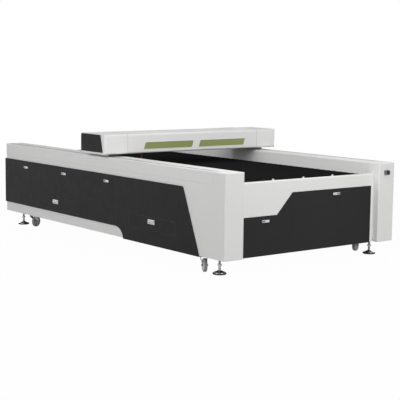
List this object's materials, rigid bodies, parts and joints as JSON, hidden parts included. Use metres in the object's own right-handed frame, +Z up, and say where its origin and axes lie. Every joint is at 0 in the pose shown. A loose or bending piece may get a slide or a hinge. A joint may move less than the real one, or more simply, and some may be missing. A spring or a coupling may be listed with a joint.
{
  "type": "carbon dioxide laser cutting machine",
  "caption": "Large flatbed laser cutter with side housings, black access panels, scrap drawers, a knife-slat bed and a travelling gantry with viewing windows.",
  "frame": {"origin": "on the floor, under the middle of the machine", "axes": "+X across the machine away from the drawers, +Y along the bed towards the exhaust, +Z up"},
  "size_m": [2.076, 3.756, 1.064],
  "materials": {
    "white_paint": "satin powder coat, light grey-white",
    "black_paint": "matt black powder coat",
    "frame_paint": "dark grey paint",
    "dark_steel": "dull dark steel",
    "zinc": "zinc plated",
    "bright_metal": "satin chrome",
    "aluminium": "natural anodised",
    "motor_black": "black housing",
    "belt": "black",
    "switch_grey": "grey",
    "switch_black": "black",
    "tinted_acrylic": "olive tint",
    "tube_glass": "clear",
    "red_anodised": "red anodised",
    "foot_steel": "blackened pad and steel stem",
    "fork_zinc": "zinc plated",
    "wheel_grey": "grey tread on a light disc",
    "case_grey": "light grey case"
  },
  "bodies": {
    "machine": {"base_frame": "frame_paint", "left_side_shell": "white_paint", "right_side_shell": "white_paint", "rail_covers": "white_paint", "left_front_panel": "black_paint", "right_side_panel": "black_paint", "front_fascia": "white_paint", "rear_fascia": "white_paint", "rear_panel": "black_paint", "bed_combs": "frame_paint", "knife_slats": "dark_steel", "scrap_hopper": "dark_steel", "ball_transfers": "zinc", "drawer_runners": "zinc", "castor_plates": "zinc", "y_rails": "bright_metal", "y_belts": "belt", "y_motor": "motor_black", "belt_brackets": "frame_paint", "switch_plate": "switch_grey", "exhaust_spigot": "zinc", "electrics": "case_grey"},
    "gantry": {"gantry_beam": "aluminium", "gantry_saddles": "aluminium", "rail_blocks": "bright_metal", "gantry_cover": "white_paint", "gantry_windows": "tinted_acrylic", "gantry_end_caps": "white_paint", "gantry_end_panels": "black_paint", "laser_tube": "tube_glass", "x_rail": "bright_metal", "x_belt_drive": "motor_black"},
    "head": {"head_carriage": "aluminium"},
    "lens": {"lens_tube": "red_anodised"},
    "left_panel": {"left_access_panel": "black_paint"},
    "front_panel": {"front_access_panel": "black_paint"},
    "rear_drawer": {"rear_drawer": "black_paint", "rear_drawer_pull": "bright_metal"},
    "front_drawer": {"front_drawer": "black_paint", "front_drawer_pull": "bright_metal"},
    "switch": {"switch_knob": "switch_black"},
    "drive_shaft": {"drive_shaft": "bright_metal"},
    "belt_idlers": {"belt_idlers": "aluminium"},
    "left_latch_1": {"left_latch_1": "bright_metal"},
    "left_latch_2": {"left_latch_2": "bright_metal"},
    "left_latch_3": {"left_latch_3": "bright_metal"},
    "front_latch_1": {"front_latch_1": "bright_metal"},
    "front_latch_2": {"front_latch_2": "bright_metal"},
    "foot_front_left": {"foot_front_left": "foot_steel"},
    "castor_front_left": {"castor_fork_front_left": "fork_zinc"},
    "wheel_front_left": {"castor_wheel_front_left": "wheel_grey"},
    "foot_front_right": {"foot_front_right": "foot_steel"},
    "castor_front_right": {"castor_fork_front_right": "fork_zinc"},
    "wheel_front_right": {"castor_wheel_front_right": "wheel_grey"},
    "foot_rear_left": {"foot_rear_left": "foot_steel"},
    "castor_rear_left": {"castor_fork_rear_left": "fork_zinc"},
    "wheel_rear_left": {"castor_wheel_rear_left": "wheel_grey"},
    "foot_rear_right": {"foot_rear_right": "foot_steel"},
    "castor_rear_right": {"castor_fork_rear_right": "fork_zinc"},
    "wheel_rear_right": {"castor_wheel_rear_right": "wheel_grey"}
  },
  "joints": [
    {"name": "gantry_slide", "type": "slide", "parent": "machine", "child": "gantry", "axis": [0, 1, 0], "range_m": [-1.27, 1.23]},
    {"name": "drive_shaft_spin", "type": "hinge", "parent": "machine", "child": "drive_shaft", "pos_m": [0, 1.64, 0.69], "axis": [1, 0, 0], "range_deg": [-2950, 2950]},
    {"name": "belt_idler_spin", "type": "hinge", "parent": "machine", "child": "belt_idlers", "pos_m": [0, -1.64, 0.69], "axis": [1, 0, 0], "range_deg": [-2950, 2950]},
    {"name": "head_slide", "type": "slide", "parent": "gantry", "child": "head", "axis": [1, 0, 0], "range_m": [-0.09, 1.21]},
    {"name": "lens_focus", "type": "slide", "parent": "head", "child": "lens", "axis": [0, 0, 1], "range_m": [-0.015, 0.018]},
    {"name": "rear_drawer_slide", "type": "slide", "parent": "machine", "child": "rear_drawer", "axis": [-1, 0, 0], "range_m": [0, 0.8]},
    {"name": "front_drawer_slide", "type": "slide", "parent": "machine", "child": "front_drawer", "axis": [-1, 0, 0], "range_m": [0, 0.8]},
    {"name": "left_panel_lift_off", "type": "slide", "parent": "machine", "child": "left_panel", "axis": [-1, 0, 0], "range_m": [0, 0.3]},
    {"name": "front_panel_lift_off", "type": "slide", "parent": "machine", "child": "front_panel", "axis": [0, -1, 0], "range_m": [0, 0.3]},
    {"name": "main_switch_turn", "type": "hinge", "parent": "machine", "child": "switch", "pos_m": [0.887, -1.85, 0.762], "axis": [0, 1, 0], "range_deg": [0, 90]},
    {"name": "left_latch_1_swing", "type": "hinge", "parent": "left_panel", "child": "left_latch_1", "pos_m": [-0.9958, 1.35455, 0.632], "axis": [0, 0, 1], "range_deg": [0, 60]},
    {"name": "left_latch_2_swing", "type": "hinge", "parent": "left_panel", "child": "left_latch_2", "pos_m": [-0.9958, 0.59605, 0.632], "axis": [0, 0, 1], "range_deg": [0, 60]},
    {"name": "left_latch_3_swing", "type": "hinge", "parent": "left_panel", "child": "left_latch_3", "pos_m": [-0.9958, -0.16985, 0.632], "axis": [0, 0, 1], "range_deg": [0, 60]},
    {"name": "front_latch_1_swing", "type": "hinge", "parent": "front_panel", "child": "front_latch_1", "pos_m": [-0.4665, -1.7958, 0.424], "axis": [0, 0, 1], "range_deg": [0, 60]},
    {"name": "front_latch_2_swing", "type": "hinge", "parent": "front_panel", "child": "front_latch_2", "pos_m": [0.2715, -1.7958, 0.603], "axis": [0, 0, -1], "range_deg": [0, 60]},
    {"name": "foot_front_left_screw", "type": "slide", "parent": "machine", "child": "foot_front_left", "axis": [0, 0, -1], "range_m": [0, 0.03]},
    {"name": "castor_front_left_swivel", "type": "hinge", "parent": "machine", "child": "castor_front_left", "pos_m": [-0.908, -1.488, 0.12], "axis": [0, 0, 1], "continuous": true},
    {"name": "wheel_front_left_roll", "type": "hinge", "parent": "castor_front_left", "child": "wheel_front_left", "pos_m": [-0.92773, -1.52845, 0.06], "axis": [0.8988, -0.4384, 0], "continuous": true},
    {"name": "foot_front_right_screw", "type": "slide", "parent": "machine", "child": "foot_front_right", "axis": [0, 0, -1], "range_m": [0, 0.03]},
    {"name": "castor_front_right_swivel", "type": "hinge", "parent": "machine", "child": "castor_front_right", "pos_m": [0.908, -1.488, 0.12], "axis": [0, 0, 1], "continuous": true},
    {"name": "wheel_front_right_roll", "type": "hinge", "parent": "castor_front_right", "child": "wheel_front_right", "pos_m": [0.86628, -1.50486, 0.06], "axis": [0.3746, -0.9272, 0], "continuous": true},
    {"name": "foot_rear_left_screw", "type": "slide", "parent": "machine", "child": "foot_rear_left", "axis": [0, 0, -1], "range_m": [0, 0.03]},
    {"name": "castor_rear_left_swivel", "type": "hinge", "parent": "machine", "child": "castor_rear_left", "pos_m": [-0.908, 1.4, 0.12], "axis": [0, 0, 1], "continuous": true},
    {"name": "wheel_rear_left_roll", "type": "hinge", "parent": "castor_rear_left", "child": "wheel_rear_left", "pos_m": [-0.86658, 1.41758, 0.06], "axis": [-0.3907, 0.9205, 0], "continuous": true},
    {"name": "foot_rear_right_screw", "type": "slide", "parent": "machine", "child": "foot_rear_right", "axis": [0, 0, -1], "range_m": [0, 0.03]},
    {"name": "castor_rear_right_swivel", "type": "hinge", "parent": "machine", "child": "castor_rear_right", "pos_m": [0.908, 1.4, 0.12], "axis": [0, 0, 1], "continuous": true},
    {"name": "wheel_rear_right_roll", "type": "hinge", "parent": "castor_rear_right", "child": "wheel_rear_right", "pos_m": [0.95029, 1.41539, 0.06], "axis": [-0.342, 0.9397, 0], "continuous": true}
  ],
  "couplings": [
    {"joint": "drive_shaft_spin", "follows": "gantry_slide", "rad_per_m": -40},
    {"joint": "belt_idler_spin", "follows": "gantry_slide", "rad_per_m": -40}
  ]
}
